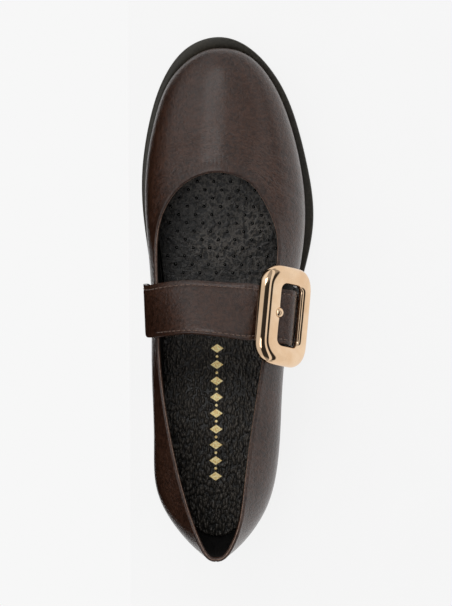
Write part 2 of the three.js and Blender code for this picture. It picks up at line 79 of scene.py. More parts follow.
# %% [markdown]
# Two habits save trouble in Blender. An operator acts on everything that is selected, so the
# selection is cleared first. And a solid that comes from CAD is a soup of loose triangles, so
# its copy is merged into one skin, and pairs of triangles are joined back into four-sided faces,
# which a subdivision surface rounds evenly.


# %% Helpers for selecting and copying
WELD = 2e-6
QUAD_FACE_ANGLE = math.radians(60)
QUAD_SHAPE_ANGLE = math.radians(120)


def only(piece):
    """Selects one object and makes it active."""
    bpy.ops.object.select_all(action="DESELECT")
    piece.select_set(True)
    bpy.context.view_layer.objects.active = piece
    return piece


def copy_of(node, name):
    """A piece of its own with the shape of a CAD node, merged and turned back into quads."""
    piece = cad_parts[node].copy()
    piece.data = piece.data.copy()
    piece.name = piece.data.name = name
    piece.parent = None
    bpy.context.collection.objects.link(piece)
    piece.data.materials.clear()
    piece.hide_viewport = piece.hide_render = False
    piece.hide_set(False)
    only(piece)
    bpy.ops.mesh.customdata_custom_splitnormals_clear()
    bpy.ops.object.mode_set(mode="EDIT")
    bpy.ops.mesh.select_all(action="SELECT")
    bpy.ops.mesh.remove_doubles(threshold=WELD)
    bpy.ops.mesh.tris_convert_to_quads(
        face_threshold=QUAD_FACE_ANGLE, shape_threshold=QUAD_SHAPE_ANGLE
    )
    bpy.ops.object.mode_set(mode="OBJECT")
    sides = [len(p.vertices) for p in piece.data.polygons]
    print(name, "faces:", len(sides), "of them quads:", sides.count(4))
    return piece


def points_of(piece):
    """The piece's points as rows of three numbers."""
    flat = np.empty(len(piece.data.vertices) * 3)
    piece.data.vertices.foreach_get("co", flat)
    return flat.reshape(-1, 3)


def move_points(piece, points):
    piece.data.vertices.foreach_set("co", points.ravel())
    piece.data.update()


def pick(piece, chosen):
    """Opens a piece for editing with only the numbered faces selected."""
    only(piece)
    bpy.ops.object.mode_set(mode="EDIT")
    bpy.ops.mesh.select_mode(type="FACE")
    bpy.ops.mesh.select_all(action="DESELECT")
    bpy.ops.object.mode_set(mode="OBJECT")
    for number in chosen:
        piece.data.polygons[number].select = True
    bpy.ops.object.mode_set(mode="EDIT")


# %% [markdown]
# A subdivision surface draws its cage inwards, so a small end such as the back of the collar
# would come out short. Its cage is therefore pushed out first: the smooth skin is measured
# against the CAD's own points, the cage moves by what is missing, and after four rounds the skin
# passes through them. Polished metal is the exception: it mirrors the small waves that this
# leaves, so there the cage stays as it is.


# %% Rounding through the CAD's points
CAGE_PUSH = 0.9


def round_off(piece, levels=2, rounds=4):
    only(piece)
    skin = piece.modifiers.new("round", "SUBSURF")
    skin.levels = levels
    skin.render_levels = levels
    wanted = points_of(piece)
    cage = wanted.copy()
    for _ in range(rounds):
        smooth = piece.evaluated_get(bpy.context.evaluated_depsgraph_get())
        cage += CAGE_PUSH * (wanted - points_of(smooth)[: len(wanted)])
        move_points(piece, cage)
    smooth = piece.evaluated_get(bpy.context.evaluated_depsgraph_get())
    missed = np.abs(wanted - points_of(smooth)[: len(wanted)]).max()
    bpy.ops.object.modifier_apply(modifier=skin.name)
    bpy.ops.object.shade_smooth()
    print(piece.name, "misses its points by", round(missed / MM, 3), "mm at most")


# %% [markdown]
# A finished piece is handed over in three short lines: it rides on the shoe's one body and,
# if it was copied from solids, it stands in their place.


# %% Handing a piece over
def settle(piece, slot, *nodes):
    """Lets a finished piece ride with the shoe and stand for CAD nodes; the slot is not used."""
    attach(piece, "root")
    if nodes:
        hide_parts(*nodes)


# %% [markdown]
# Finishes are node materials. Shader maths is easier to read as a formula than as a web of nodes,
# so a small class wraps a node's output and turns plus, minus and times into Math nodes. Every
# other node comes from one method, which sets its options first and then its inputs. A finish adds
# the patterns that come up again and again: noise, stretched noise and soft pebbles.


# %% Shader maths as Python
class Wire:
    """One output of a node, usable in formulas."""

    def __init__(self, finish, socket):
        self.finish = finish
        self.socket = socket

    def maths(self, operation, *others, flip=False):
        values = [self, *others]
        if flip:
            values = [*others, self]
        return self.finish.node(
            "Math", {"operation": operation}, dict(enumerate(values))
        )

    def __add__(self, other):
        return self.maths("ADD", other)

    def __sub__(self, other):
        return self.maths("SUBTRACT", other)

    def __rsub__(self, other):
        return self.maths("SUBTRACT", other, flip=True)

    def __mul__(self, other):
        return self.maths("MULTIPLY", other)

    def __neg__(self):
        return self * -1.0

    __radd__ = __add__
    __rmul__ = __mul__

    def size(self):
        return self.maths("ABSOLUTE")

    def fold(self):
        """Distance to the nearest whole number, from 0 to a half."""
        return self.maths("PINGPONG", 0.5)

    def step(self, low, high):
        """Rises smoothly from 0 at low to 1 at high."""
        options = {"interpolation_type": "SMOOTHSTEP"}
        ends = {"Value": self, "From Min": low, "From Max": high}
        return self.finish.node("MapRange", options, ends)


class Web:
    """A tree of nodes, grown one node at a time."""

    def __init__(self, tree):
        self.tree = tree

    def node(self, kind, options=None, values=None, output=0):
        made = self.tree.nodes.new("ShaderNode" + kind)
        for key, value in (options or {}).items():
            if key == "stops":
                self.set_stops(made.color_ramp, value)
            else:
                setattr(made, key, value)
        for key, value in (values or {}).items():
            self.feed(made.inputs[key], value)
        return Wire(self, made.outputs[output])

    def set_stops(self, ramp, stops):
        while len(ramp.elements) < len(stops):
            ramp.elements.new(0.5)
        for element, (place, colour) in zip(ramp.elements, stops):
            element.position = place
            element.color = colour

    def feed(self, socket, value):
        if isinstance(value, Wire):
            self.tree.links.new(value.socket, socket)
        else:
            socket.default_value = value

    def blend(self, amount, first, second):
        options = {"data_type": "RGBA"}
        colours = {"Factor": amount, 6: first, 7: second}
        return self.node("Mix", options, colours, output=2)


class Finish(Web):
    """A node material with a Principled shader."""

    def __init__(self, name, **sockets):
        self.material = bpy.data.materials.new(name)
        self.material.use_nodes = True
        super().__init__(self.material.node_tree)
        self.shader = self.tree.nodes["Principled BSDF"]
        for key, value in sockets.items():
            self.shader.inputs[key.replace("_", " ")].default_value = value

    def place(self, axis=None):
        """Object coordinates in metres, whole or one axis of them."""
        where = self.node("TexCoord", output="Object")
        if axis is None:
            return where
        return self.node("SeparateXYZ", values={0: where}, output=axis)

    def noise(self, scale, detail=3.0, roughness=0.55, where=None):
        values = {"Scale": scale, "Detail": detail, "Roughness": roughness}
        values["Vector"] = self.place() if where is None else where
        return self.node("TexNoise", values=values)

    def stretched(self, x, y, z):
        """Object coordinates multiplied along each axis."""
        return self.node("Mapping", values={"Vector": self.place(), "Scale": (x, y, z)})

    def joined(self, x, y, z=0.0):
        return self.node("CombineXYZ", values={0: x, 1: y, 2: z})

    def wandering(self, scale, reach, where=None):
        """Coordinates pushed about by noise, so that cells drawn on them look grown."""
        where = self.place() if where is None else where
        push = self.node("TexNoise", values={"Vector": where, "Scale": scale}, output=1)
        centred = self.node(
            "VectorMath", {"operation": "SUBTRACT"}, {0: push, 1: (0.5, 0.5, 0.5)}
        )
        values = {0: centred, 1: (reach, reach, reach), 2: where}
        return self.node("VectorMath", {"operation": "MULTIPLY_ADD"}, values)

    def pebbles(self, where, scale):
        """Soft domes packed side by side, 1 on top and 0 in the valleys."""
        options = {"feature": "SMOOTH_F1"}
        values = {"Vector": where, "Scale": scale, "Smoothness": 0.35}
        return 1.0 - self.node("TexVoronoi", options, values).step(0.05, 0.75)

    def bump(self, height, depth, under=None):
        """Tilts the surface as a height in the range 0 to 1 and a depth in metres say."""
        values = {"Height": height, "Distance": depth, "Strength": 1.0}
        if under is not None:
            values["Normal"] = under
        return self.node("Bump", values=values)

    def to_shader(self, **links):
        for key, value in links.items():
            self.feed(self.shader.inputs[key.replace("_", " ")], value)
        return self.material


def rgb(red, green, blue):
    """A colour given as on a screen, 0 to 255, turned to the renderer's linear scale."""
    shares = [c / 255 for c in (red, green, blue)]
    linear = [s / 12.92 if s <= 0.04045 else ((s + 0.055) / 1.055) ** 2.4 for s in shares]
    return (*linear, 1.0)


# %% [markdown]
# Smooth leather is dyed skin under a thin clear coat. Close up it has fine wrinkles and low round
# cells over soft clouds of colour. On the vamp it also has creases, which arch round the throat
# where it was pulled over the last. They are noise drawn on polar coordinates round the throat and
# stretched along the angle, so that they come out as long arcs. Their lines are also painted
# paler, a painted highlight along each fold. On a side wall such arcs would turn into upright
# streaks, so they fade out with the height.


# %% Brown leather
THROAT = Vector((0.0, 112.0)) * MM
DEEP_BROWN = rgb(34, 18, 10)
WARM_BROWN = rgb(80, 52, 39)
CREASES_FADE = (0.062, 0.098)
CREASES_BEGIN = (-0.006, 0.02)
CREASED_HEIGHT = (0.03, 0.042)


def brown_leather(name, creased):
    finish = Finish(name, Coat_Roughness=0.2, IOR=1.5)
    cells = finish.pebbles(finish.wandering(500.0, 0.0006), 1500.0)
    pores = finish.noise(3200.0, detail=2.0)
    clouds = finish.noise(48.0, detail=4.0)
    mottle = finish.noise(420.0, detail=4.0, roughness=0.65)
    wrinkle = finish.noise(640.0, detail=3.0, roughness=0.65)
    shade = clouds.step(0.3, 0.7) * 0.25 + mottle.step(0.4, 0.6) * 0.35
    shade = shade + wrinkle.step(0.4, 0.6) * 0.3 + cells * 0.1
    rough = 0.2 + 0.18 * mottle + 0.05 * pores
    normal = finish.bump(cells * 0.1 + pores * 0.1 + wrinkle * 0.8, 0.0007)
    if creased:
        x = finish.place(0) - THROAT.x
        y = finish.place(1) - THROAT.y
        radius = (x * x + y * y).maths("SQRT")
        angle = y.maths("ARCTAN2", x)
        sway = finish.noise(45.0, detail=2.0)
        arcs = finish.joined(radius * 520.0 + sway * 5.0, angle * 6.5)
        folds = finish.noise(1.0, detail=3.0, roughness=0.6, where=arcs)
        lines = 1.0 - ((folds - 0.5).size() * 9.0).step(0.0, 1.0)
        patches = finish.noise(38.0, detail=1.0).step(0.35, 0.62)
        reach = 1.0 - radius.step(*CREASES_FADE)
        ahead = y.step(*CREASES_BEGIN)
        on_top = finish.place(2).step(*CREASED_HEIGHT)
        crease_and_painted_highlight = lines * (0.35 + patches * 0.65) * reach * ahead * on_top
        normal = finish.bump(crease_and_painted_highlight, 0.0003, under=normal)
        # Painted light: the crease lines are also painted paler, a painted highlight along each
        # fold.
        shade = shade + crease_and_painted_highlight * 0.5
    colour = finish.blend(shade, DEEP_BROWN, WARM_BROWN)
    return finish.to_shader(
        Base_Color=colour, Roughness=rough, Normal=normal, Coat_Weight=0.4 - 0.2 * mottle
    )


upper_leather = brown_leather("brown_leather_upper", creased=True)
trim_leather = brown_leather("brown_leather_trim", creased=False)

# %% [markdown]
# The upper's cut edge is folded, and along the fold a fine pale line shows: its paler colour is a
# painted highlight, the sheen on the rounded fold.

# %% Painted highlight along the fold
# Painted light: the two pale browns stand for the sheen on the fold's crest, a painted highlight.
fold_highlight_finish = Finish("painted_fold_highlight", IOR=1.5)
fold_ridge_noise = fold_highlight_finish.noise(700.0, detail=3.0)
fold_highlight_finish.to_shader(
    Base_Color=fold_highlight_finish.blend(fold_ridge_noise.step(0.3, 0.7), rgb(112, 86, 73), rgb(160, 132, 116)),
    Roughness=0.4 + 0.2 * fold_ridge_noise,
    Normal=fold_highlight_finish.bump(fold_ridge_noise, 0.00003),
)
fold_highlight_leather = fold_highlight_finish.material

# %% [markdown]
# The lining and the sock are black. Under the ball the sock is thin leather, and its wrinkles
# show as a net of fine pale lines, a painted highlight: they are where a noise passes its middle
# value. Behind it lies a second pad with a coarse pebbled grain, drawn out along the foot, its
# tops painted paler and its valleys darker, a painted highlight and painted shade. One finish
# serves both: the place along the shoe fades the grain in. The grip domes are a smoother, blacker
# rubber.


# %% Black lining and sock
PAD_FRONT = 97 * MM
PAD_FADE = 1.2 * MM


def black_lining():
    finish = Finish("black_lining")
    cells = finish.pebbles(finish.wandering(400.0, 0.0008), 1100.0)
    mottle = finish.noise(260.0)
    colour = finish.blend(mottle.step(0.3, 0.7), rgb(13, 12, 12), rgb(27, 25, 24))
    return finish.to_shader(
        Base_Color=colour, Roughness=0.5 + 0.2 * mottle, Normal=finish.bump(cells, 0.00005)
    )


def black_sock(pad_front):
    finish = Finish("black_sock")
    along = finish.stretched(1.0, 0.5, 1.0)
    pebble_grain_and_painted_light = finish.pebbles(finish.wandering(280.0, 0.002, where=along), 760.0)
    wrinkles = finish.noise(300.0, detail=3.0, roughness=0.6)
    drifts = finish.noise(40.0, detail=1.0).step(0.3, 0.7)
    fine = finish.noise(1700.0, detail=2.0)
    behind = 1.0 - finish.place(1).step(pad_front - PAD_FADE, pad_front + PAD_FADE)
    soft = fine * 0.16 + wrinkles * 0.55
    relief = soft * (1.0 - behind) + (pebble_grain_and_painted_light * 0.85 + fine * 0.1) * behind
    # Painted light: these pale lines are a painted highlight along the wrinkles.
    painted_wrinkle_highlight = 1.0 - ((wrinkles - 0.5).size() * 11.0).step(0.0, 1.0)
    front = painted_wrinkle_highlight * (0.15 + 0.5 * drifts) + drifts * 0.06
    # At the back the pebble tops are painted paler and the valleys darker: painted highlight and
    # painted shade.
    shade = front * (1.0 - behind) + (pebble_grain_and_painted_light * 0.7 + painted_wrinkle_highlight * 0.1) * behind
    colour = finish.blend(shade, rgb(12, 11, 10), rgb(124, 117, 109))
    rough = 0.2 + 0.14 * fine + 0.1 * wrinkles
    return finish.to_shader(
        Base_Color=colour, Roughness=rough, Normal=finish.bump(relief, 0.0012)
    )


def grip_rubber():
    finish = Finish("grip_rubber", IOR=1.5)
    speck = finish.noise(2500.0)
    return finish.to_shader(
        Base_Color=finish.blend(speck, rgb(6, 6, 6), rgb(14, 13, 12)),
        Roughness=0.14 + 0.08 * speck,
        Normal=finish.bump(speck, 0.00001),
    )


lining_leather = black_lining()
sock_leather = black_sock(PAD_FRONT)
dome_rubber = grip_rubber()

# %% [markdown]
# The sole is dark olive rubber with a satin edge. Its underside carries low ribs, which only
# show when the shoe is turned over.


# %% Rubber
def sole_rubber():
    finish = Finish("sole_rubber")
    speck = finish.noise(800.0, detail=4.0)
    patches = finish.noise(45.0)
    shade = speck.step(0.3, 0.7) * 0.6 + patches.step(0.35, 0.7) * 0.4
    colour = finish.blend(shade, rgb(36, 33, 27), rgb(64, 60, 50))
    x = finish.place(0)
    y = finish.place(1)
    facing = finish.node(
        "SeparateXYZ", values={0: finish.node("NewGeometry", output="Normal")}, output=2
    )
    under = (-facing).step(0.6, 0.9)
    ribs = ((y + (x * x) * 4.0) * 190.0).fold().step(0.12, 0.3)
    scuffs = finish.noise(1.0, detail=3.0, where=finish.stretched(60.0, 60.0, 1900.0))
    relief = ribs * under * 0.9 + speck * 0.06 + scuffs * (1.0 - under) * 0.08
    return finish.to_shader(
        Base_Color=colour, Roughness=0.34 + 0.18 * speck, Normal=finish.bump(relief, 0.0006)
    )


rubber = sole_rubber()

# %% [markdown]
# The buckle is plated metal, polished, in a pale gold with a little pink. A mirror finish shows
# mostly what is round it, so its colour and roughness stay simple: a faint haze and a few
# hairline marks keep it from looking computed. The foil lies deep in the shoe, where little light
# falls, so it gets a faint glow of its own to stay readable.


# %% Gold and foil
FOIL_GLOW = 0.25


def pale_gold():
    finish = Finish("pale_gold", Metallic=1.0)
    haze = finish.noise(90.0, detail=4.0)
    hairs = finish.noise(1.0, detail=2.0, where=finish.stretched(3200.0, 260.0, 900.0))
    colour = finish.blend(haze.step(0.3, 0.7), rgb(232, 196, 158), rgb(243, 212, 178))
    rough = 0.03 + 0.03 * haze.step(0.4, 0.8) + 0.02 * hairs
    return finish.to_shader(
        Base_Color=colour, Roughness=rough, Normal=finish.bump(hairs, 0.000002)
    )


def gold_foil():
    finish = Finish("gold_foil", Metallic=0.3, Emission_Strength=FOIL_GLOW)
    crackle = finish.noise(1300.0, detail=3.0)
    colour = finish.blend(crackle.step(0.35, 0.65), rgb(214, 178, 104), rgb(255, 240, 186))
    return finish.to_shader(
        Base_Color=colour,
        Emission_Color=colour,
        Roughness=0.3 + 0.2 * crackle,
        Normal=finish.bump(crackle, 0.00005),
    )


gold = pale_gold()
foil = gold_foil()

# %% [markdown]
# Sewing thread is two or three strands laid together. At this size only its fuzz and its change
# of shade show. Elastic is woven with fine cords along it, which stand up as narrow ribs.


# %% Thread and elastic
def brown_thread():
    finish = Finish("brown_thread", Sheen_Weight=0.3)
    twist = finish.noise(2400.0, detail=2.0)
    colour = finish.blend(twist.step(0.35, 0.65), rgb(92, 70, 58), rgb(138, 112, 98))
    return finish.to_shader(
        Base_Color=colour, Roughness=0.55 + 0.2 * twist, Normal=finish.bump(twist, 0.00004)
    )


def black_elastic():
    finish = Finish("black_elastic", Sheen_Weight=0.2)
    ribs = (finish.place(1) * 1100.0).fold().step(0.05, 0.4)
    fuzz = finish.noise(1500.0, detail=3.0)
    colour = finish.blend(ribs * 0.6 + fuzz * 0.4, rgb(10, 10, 10), rgb(34, 33, 32))
    return finish.to_shader(
        Base_Color=colour, Roughness=0.7 + 0.15 * fuzz, Normal=finish.bump(ribs, 0.0002)
    )


thread = brown_thread()
elastic = black_elastic()

# %% [markdown]
# The upper is one leather wall pulled over a last, lined in black, with its edge folded in. The
# CAD holds it as two solids with a hairline between them, the wall and the strip at its edge. On
# the shoe that edge runs on smoothly, so the two copies become one skin: the end faces that look
# at each other are deleted, and the strip's lower rings are laid on the wall's upper ones.

# %% Wall and edge strip
JOINT_REACH = 0.8 * MM
wall = copy_of("upper", "upper_leather")
strip = copy_of("topline_binding", "edge_strip")
wall_tree = KDTree(len(wall.data.vertices))
for vertex in wall.data.vertices:
    wall_tree.insert(vertex.co, vertex.index)
wall_tree.balance()
partner = {}
for vertex in strip.data.vertices:
    spot, number, away = wall_tree.find(vertex.co)
    if away < JOINT_REACH:
        partner[vertex.index] = number
        vertex.co = spot
print("points shared by wall and strip:", len(partner))


def faces_within(piece, numbers):
    return [p.index for p in piece.data.polygons if all(v in numbers for v in p.vertices)]


# %% [markdown]
# Before its end faces go, they also tell which way the strip's crest lies: the crest is the ring
# of faces that looks the other way. It gets a slot of its own for the painted highlight along the
# fold.

# %% The crest and the joint
OUTER, LINING, CREST, TRIM = range(4)
LOOKS_AWAY = -0.93
SKIN_WELD = 1e-5
strip_ends = faces_within(strip, set(partner))
wall_ends = faces_within(wall, set(partner.values()))
end_tree = KDTree(len(strip_ends))
for number in strip_ends:
    end_tree.insert(strip.data.polygons[number].center, number)
end_tree.balance()
for piece in (wall, strip):
    for finish in (upper_leather, lining_leather, fold_highlight_leather, trim_leather):
        piece.data.materials.append(finish)
for face in strip.data.polygons:
    number = end_tree.find(face.center)[1]
    on_crest = face.normal.dot(strip.data.polygons[number].normal) < LOOKS_AWAY
    face.material_index = CREST if on_crest else TRIM
for piece, ends in ((wall, wall_ends), (strip, strip_ends)):
    pick(piece, ends)
    bpy.ops.mesh.delete(type="ONLY_FACE")
    bpy.ops.object.mode_set(mode="OBJECT")
only(wall)
strip.select_set(True)
bpy.ops.object.join()
upper = bpy.context.object
bpy.ops.object.mode_set(mode="EDIT")
bpy.ops.mesh.select_all(action="SELECT")
bpy.ops.mesh.remove_doubles(threshold=SKIN_WELD)
bpy.ops.object.mode_set(mode="OBJECT")
crest = [p.index for p in upper.data.polygons if p.material_index == CREST]
print("end faces removed:", len(wall_ends), len(strip_ends), "crest faces:", len(crest))

# %% [markdown]
# The pale line is a narrow ridge. The crest's ring of faces is inset, which leaves a thinner
# ring in its middle, and that ring is lifted a little. Only it keeps the pale finish, a painted
# highlight.

# %% The line along the fold
RIDGE_MARGIN = 0.3
RIDGE_RISE = 0.16
pick(upper, crest)
bpy.ops.mesh.inset(thickness=RIDGE_MARGIN * MM, depth=RIDGE_RISE * MM)
bpy.ops.object.mode_set(mode="OBJECT")
for face in upper.data.polygons:
    if face.material_index == CREST and not face.select:
        face.material_index = TRIM
round_off(upper)

# %% [markdown]
# Leather keeps low hollows and folds where the foot bends it. Each is pressed in as a
# soft trough along a line across the vamp: points near the line move inwards, least at its ends.
# The vamp's outer faces are divided once more first, so that a fold has points enough.

# %% Finer faces on the vamp
VAMP_BACK = 118
VAMP_FRONT = 196
VAMP_FOOT = 33
FACES_UP = 0.35
vamp = [
    p.index
    for p in upper.data.polygons
    if VAMP_BACK * MM < p.center.y < VAMP_FRONT * MM
    and p.center.z > VAMP_FOOT * MM
    and p.normal.z > FACES_UP
    and p.material_index == OUTER
]
pick(upper, vamp)
bpy.ops.mesh.subdivide(number_cuts=1)
bpy.ops.object.mode_set(mode="OBJECT")
bpy.ops.object.shade_smooth()
print("vamp faces divided:", len(vamp), "faces now:", len(upper.data.polygons))


# %% A trough along a line
def press(piece, line, width, depth):
    """Moves the points near a line, in plan, inwards by a soft trough. Millimetres."""
    points = points_of(piece)
    flat = np.empty(len(points) * 3)
    piece.data.vertices.foreach_get("normal", flat)
    normals = flat.reshape(-1, 3)
    line = np.array(line) * MM
    best = np.full(len(points), 9.0)
    share = np.zeros(len(points))
    for i in range(len(line) - 1):
        start, run = line[i], line[i + 1] - line[i]
        along = np.clip(((points[:, :2] - start) @ run) / (run @ run), 0, 1)
        away = np.linalg.norm(points[:, :2] - start - along[:, None] * run, axis=1)
        nearer = away < best
        best[nearer] = away[nearer]
        share[nearer] = (i + along[nearer]) / (len(line) - 1)
    fade = np.exp(-((best / (width * MM)) ** 2)) * np.sin(np.pi * share)
    move = np.where(normals[:, 2] > 0.2, fade * depth * MM, 0.0)
    move_points(piece, points - normals * move[:, None])


def arc(radius, start, end, wave=0.0):
    """Points on an arc round the throat, from one angle to another, with a slow wave in it."""
    angles = np.radians(np.linspace(start, end, 15))
    radii = radius + wave * np.sin(3.0 * angles)
    xs = THROAT.x / MM + radii * np.cos(angles)
    ys = THROAT.y / MM + radii * np.sin(angles)
    return list(zip(xs, ys))


# %% [markdown]
# The folds lie on arcs round the throat, short and staggered, as the foot's bending makes them.
# Each row gives its arc, its width and its depth in millimetres.

# %% Folds of the vamp
FOLDS = [
    (arc(58, 58, 138, 0.8), 1.3, 0.2),
    (arc(61.5, 38, 112, 1.0), 1.1, 0.16),
    (arc(65, 66, 148, 0.7), 1.4, 0.18),
    (arc(69, 30, 96, 1.1), 1.2, 0.14),
    (arc(74, 78, 132, 1.2), 1.6, 0.15),
    (arc(56, 24, 60, 0.6), 1.2, 0.2),
    (arc(55.5, 126, 160, 0.5), 1.2, 0.2),
    (arc(63, 18, 44, 0.8), 1.5, 0.18),
    (arc(61, 134, 158, 0.8), 1.5, 0.18),
]
for line, width, depth in FOLDS:
    press(upper, line, width, depth)
print("folds pressed in:", len(FOLDS))

# %% [markdown]
# At the back of the heel the upper's two halves are sewn together. Three cuts close beside one
# another give that place points of its own, and the middle ones are drawn in, so that a fine
# valley runs down the heel, and the folded edge shows a small notch.

# %% Back seam
SEAM_HALF = 0.45
SEAM_DEPTH = 0.3
COUNTER_FRONT = -18
COUNTER_HALF = 8
ON_SEAM = 0.01


def counter_faces():
    """Faces at the very back of the heel, where the seam runs."""
    return [
        p.index
        for p in upper.data.polygons
        if p.center.y < COUNTER_FRONT * MM and abs(p.center.x) < COUNTER_HALF * MM
    ]


for offset in (-SEAM_HALF, 0.0, SEAM_HALF):
    pick(upper, counter_faces())
    bpy.ops.mesh.bisect(plane_co=(offset * MM, 0, 0), plane_no=(1, 0, 0))
    bpy.ops.object.mode_set(mode="OBJECT")
points = points_of(upper)
normals = [v.normal.copy() for v in upper.data.vertices]
drawn_in = 0
for i, point in enumerate(points):
    at_back = abs(point[0]) < ON_SEAM * MM and point[1] < COUNTER_FRONT * MM
    if at_back and normals[i].y < 0.3:
        points[i] = Vector(point) - normals[i] * SEAM_DEPTH * MM
        drawn_in += 1
move_points(upper, points)
print("points drawn in along the back seam:", drawn_in)

# %% [markdown]
# Which faces are lining? A face whose normal points back at a line through the middle of the
# foot lies inside the shoe. The rest is outer leather.

# %% Lining faces
heart_y = np.array([-31, 60, 150, 231]) * MM
heart_x = np.array([0, 0, 5, 3]) * MM
inside = 0
for face in upper.data.polygons:
    y = min(max(face.center.y, -8 * MM), 200 * MM)
    heart = Vector((float(np.interp(y, heart_y, heart_x)), y, 30 * MM))
    if face.material_index == OUTER and face.normal.dot(heart - face.center) > 0:
        face.material_index = LINING
        inside += 1
print("lining faces:", inside, "of", len(upper.data.polygons))
settle(upper, "upper_leather", "upper", "topline_binding")

# %% [markdown]
# The sole is three rubber pieces: the outsole with its arch and toe spring, the welt that rims
# the upper, and the heel block. The outsole's and the heel's flat faces must stay flat, so instead
# of a subdivision surface their sharp edges get a narrow bevel. The welt is rounded whole.


# %% Outsole, welt and heel
def soften(piece, width, angle=35):
    """Rounds a piece's sharp edges with a narrow bevel and shades it smooth."""
    only(piece)
    edge = piece.modifiers.new("edge", "BEVEL")
    edge.width = width * MM
    edge.segments = 3
    edge.limit_method = "ANGLE"
    edge.angle_limit = math.radians(angle)
    bpy.ops.object.modifier_apply(modifier=edge.name)
    bpy.ops.object.shade_smooth_by_angle(angle=math.radians(40))


outsole = copy_of("outsole", "outsole_rubber")
soften(outsole, 0.4)
heel = copy_of("heel", "heel_block")
soften(heel, 0.5)
welt = copy_of("welt", "welt_strip")
round_off(welt)
for piece, node in ((outsole, "outsole"), (heel, "heel"), (welt, "welt")):
    piece.data.materials.append(rubber)
    settle(piece, "sole_rubber", node)

# %% [markdown]
# Small things are laid on larger ones here: domes and foil on the sock, stitches on the strap. A
# ray shot at the larger piece finds the height and the slope at each place. One small shape is
# modelled, every copy is moved onto its spot, and the copies become one piece.


# %% Dropping copies onto a surface
def surface_of(piece):
    corners = [v.co.copy() for v in piece.data.vertices]
    return BVHTree.FromPolygons(corners, [tuple(p.vertices) for p in piece.data.polygons])


def turned_to(place, normal, along):
    """A placing that stands a shape on a surface, with its X axis along the given direction."""
    z = normal.normalized()
    y = z.cross(along).normalized()
    turn = Matrix((y.cross(z), y, z)).transposed().to_4x4()
    return Matrix.Translation(place) @ turn


def strewn(pattern, placings, name):
    """Copies of a small shape at each placing, joined into one piece at the origin."""
    copies = []
    for placing in placings:
        one = pattern.copy()
        one.data = pattern.data.copy()
        bpy.context.collection.objects.link(one)
        one.data.transform(placing)
        copies.append(one)
    bpy.data.objects.remove(pattern)
    bpy.ops.object.select_all(action="DESELECT")
    for one in copies:
        one.select_set(True)
    bpy.context.view_layer.objects.active = copies[0]
    bpy.ops.object.join()
    piece = bpy.context.object
    piece.name = piece.data.name = name
    bpy.ops.object.shade_smooth()
    print(name, len(placings), "copies,", len(piece.data.polygons), "faces")
    return piece


# %% [markdown]
# The insole's top is the sock that the foot stands on. Its shape is right as it is, so only its
# edge is softened.

# %% Insole
DOWN = Vector((0, 0, -1))
insole = copy_of("insole", "sock")
soften(insole, 0.3)
insole.data.materials.append(sock_leather)
settle(insole, "lining", "insole")
sock_surface = surface_of(insole)

# %% [markdown]
# Under the ball the sock is dotted with small domes for grip, in staggered rows. A dome is a low
# sphere, half sunk into the sock. A place near the sock's edge is left out.

# %% Grip domes
DOME_PITCH = 8.6
DOME_ROW = 4.32
FIRST_ROW = 156.6
DOME_RADIUS = 0.85
DOME_FLATNESS = 0.7
bpy.ops.object.select_all(action="DESELECT")
bpy.ops.mesh.primitive_uv_sphere_add(segments=12, ring_count=8, radius=DOME_RADIUS * MM)
dome = bpy.context.object
dome.data.transform(Matrix.Diagonal((1.0, 1.0, DOME_FLATNESS, 1.0)))
placings = []
for row in range(-9, 12):
    y = FIRST_ROW - row * DOME_ROW
    start = -9.9 - 0.28 * row + 0.5 * DOME_PITCH * (row % 2)
    for column in range(-4, 7):
        x = start + column * DOME_PITCH
        place = Vector((x, y - 0.01 * x, 60)) * MM
        spot, normal, _, _ = sock_surface.ray_cast(place, DOWN)
        beside = [place + Vector((dx, dy, 0)) * MM for dx, dy in ((4, 0), (-4, 0), (0, 4))]
        clear = all(sock_surface.ray_cast(p, DOWN)[0] is not None for p in beside)
        if spot is not None and clear:
            placings.append(turned_to(spot, normal, Vector((1, 0, 0))))
domes = strewn(dome, placings, "grip_domes")
domes.data.materials.append(dome_rubber)
settle(domes, "lining")

# %% [markdown]
# A narrow ornament is stamped on the sock in gold foil: a plain row of lozenges with a dot
# between each pair. Foil is only a skin, so each shape is a flat disc, a tenth of a millimetre
# proud of the leather, laid on it where a ray finds its surface.

# %% Foil ornament
FOIL_SHAPES = 17
FOIL_START = 5.0
FOIL_PITCH = 4.1
lozenges = []
dots = []
for i in range(FOIL_SHAPES):
    place = Vector((-0.4 + 0.05 * i, FOIL_START + i * FOIL_PITCH, 60)) * MM
    spot, normal, _, _ = sock_surface.ray_cast(place, DOWN)
    (dots if i % 2 else lozenges).append(turned_to(spot, normal, Vector((1, 0, 0))))


def foil_shape(corners, radius, stretch):
    """A thin bevelled disc, a lozenge if it has four corners."""
    bpy.ops.object.select_all(action="DESELECT")
    bpy.ops.mesh.primitive_cylinder_add(vertices=corners, radius=radius * MM, depth=0.2 * MM)
    shape = bpy.context.object
    shape.data.transform(Matrix.Diagonal((*stretch, 1.0, 1.0)))
    bpy.ops.object.mode_set(mode="EDIT")
    bpy.ops.mesh.select_all(action="SELECT")
    bpy.ops.mesh.bevel(offset=0.05 * MM, segments=1)
    bpy.ops.object.mode_set(mode="OBJECT")
    return shape


foil_lozenges = strewn(foil_shape(4, 1.0, (3.3, 2.3)), lozenges, "foil_lozenges")
foil_dots = strewn(foil_shape(16, 0.7, (1.0, 1.0)), dots, "foil_dots")
for piece in (foil_lozenges, foil_dots):
    only(piece)
    bpy.ops.object.shade_smooth_by_angle(angle=math.radians(30))
    piece.data.materials.append(foil)
    settle(piece, "lining")

# %% [markdown]
# The strap is a band of the same leather, lined in black and sewn along both sides. It is copied
# from its solid and rounded. Its solid runs down both walls to the welt. A face that looks at
# the middle of the instep is lining.

